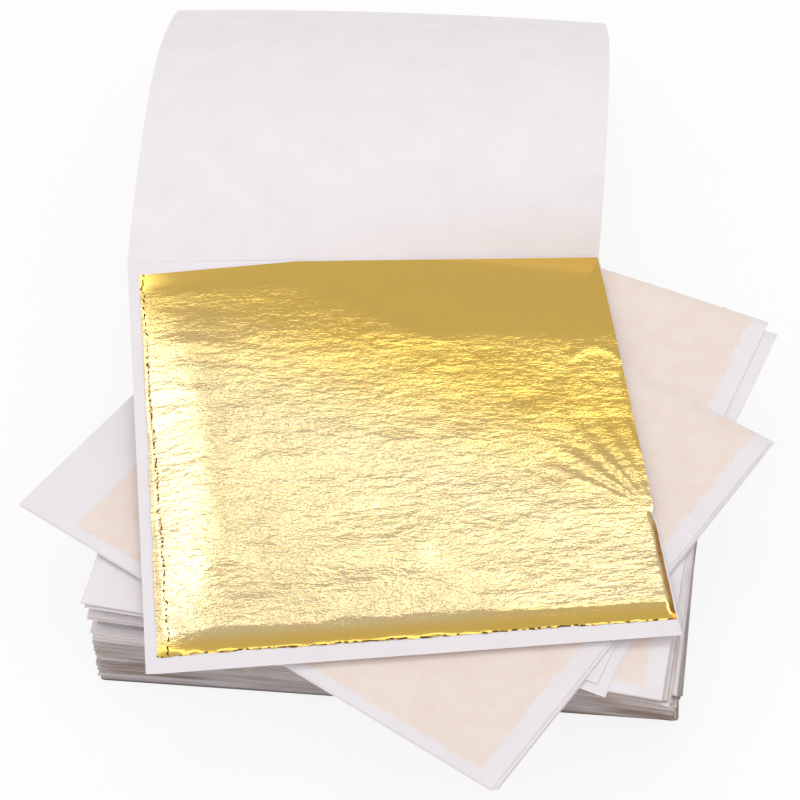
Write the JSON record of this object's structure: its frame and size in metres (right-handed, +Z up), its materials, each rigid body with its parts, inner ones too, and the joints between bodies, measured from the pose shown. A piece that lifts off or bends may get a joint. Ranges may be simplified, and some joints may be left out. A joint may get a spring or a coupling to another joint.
{
  "type": "gold leaf booklet",
  "caption": "Pile of thin folded tissue folders with a sheet of gold leaf in each, two fans of folders turned on it, and one folder open on top with its leaf showing.",
  "frame": {"origin": "middle of the lowest folder's underside, on the surface that the pile lies on", "axes": "+Z up, +Y towards the creases of the pile's folders, +X along the creases to the right"},
  "size_m": [0.1272, 0.1868, 0.0345],
  "materials": {
    "tissue_paper": "thin matt white tissue, faintly mottled",
    "gold_leaf": "crinkled bright gold-coloured metal leaf"
  },
  "bodies": {
    "pile": {"deep_drawn_in_bundle_1_leaves": "gold_leaf", "deep_drawn_in_bundle_1_papers": "tissue_paper", "deep_drawn_in_bundle_2_leaves": "gold_leaf", "deep_drawn_in_bundle_2_papers": "tissue_paper", "foot_bundle_1_leaves": "gold_leaf", "foot_bundle_1_papers": "tissue_paper", "foot_bundle_2_leaves": "gold_leaf", "foot_bundle_2_papers": "tissue_paper", "main_bundle_1_leaves": "gold_leaf", "main_bundle_1_papers": "tissue_paper", "main_bundle_2_leaves": "gold_leaf", "main_bundle_2_papers": "tissue_paper", "main_bundle_3_leaves": "gold_leaf", "main_bundle_3_papers": "tissue_paper", "main_bundle_4_leaves": "gold_leaf", "main_bundle_4_papers": "tissue_paper", "main_bundle_5_leaves": "gold_leaf", "main_bundle_5_papers": "tissue_paper", "main_bundle_6_leaves": "gold_leaf", "main_bundle_6_papers": "tissue_paper", "middle_bundle_1_leaves": "gold_leaf", "middle_bundle_1_papers": "tissue_paper", "middle_bundle_2_leaves": "gold_leaf", "middle_bundle_2_papers": "tissue_paper", "pile_top_folder_leaves": "gold_leaf", "pile_top_folder_papers": "tissue_paper", "thin_drawn_in_bundle_leaves": "gold_leaf", "thin_drawn_in_bundle_papers": "tissue_paper", "top_bundle_1_leaves": "gold_leaf", "top_bundle_1_papers": "tissue_paper", "top_bundle_2_leaves": "gold_leaf", "top_bundle_2_papers": "tissue_paper", "top_drawn_in_bundle_leaves": "gold_leaf", "top_drawn_in_bundle_papers": "tissue_paper", "upper_bundle_1_leaves": "gold_leaf", "upper_bundle_1_papers": "tissue_paper", "upper_bundle_2_leaves": "gold_leaf", "upper_bundle_2_papers": "tissue_paper"},
    "lower_fan": {"lower_fan_leaf_1": "gold_leaf", "lower_fan_leaf_2": "gold_leaf", "lower_fan_paper_1": "tissue_paper", "lower_fan_paper_2": "tissue_paper"},
    "upper_fan": {"upper_fan_leaf_1": "gold_leaf", "upper_fan_leaf_2": "gold_leaf", "upper_fan_leaf_3": "gold_leaf", "upper_fan_paper_1": "tissue_paper", "upper_fan_paper_2": "tissue_paper", "upper_fan_paper_3": "tissue_paper"},
    "open_folder": {"open_folder_lower_page": "tissue_paper"},
    "upper_page": {"open_folder_upper_page": "tissue_paper"},
    "open_leaf": {"open_gold_leaf": "gold_leaf"}
  },
  "joints": [
    {"name": "lower_fan_turn", "type": "hinge", "parent": "pile", "child": "lower_fan", "pos_m": [0.0041, 0.0069, 0.0168], "axis": [0, 0, 1], "range_deg": [-20, 13]},
    {"name": "upper_fan_turn", "type": "hinge", "parent": "lower_fan", "child": "upper_fan", "pos_m": [-0.0005, -0.0085, 0.0172], "axis": [0, 0, 1], "range_deg": [-20, 11]},
    {"name": "open_folder_lift", "type": "slide", "parent": "upper_fan", "child": "open_folder", "axis": [0, 0, 1], "range_m": [0, 0.06]},
    {"name": "page_turn", "type": "hinge", "parent": "open_folder", "child": "upper_page", "pos_m": [-0.01037, 0.03764, 0.02109], "axis": [0.9816, 0.1748, -0.0771], "range_deg": [0, 178], "deforming": ["open_folder_upper_page"]},
    {"name": "leaf_lift", "type": "slide", "parent": "open_folder", "child": "open_leaf", "axis": [0, 0, 1], "range_m": [0, 0.06]}
  ]
}
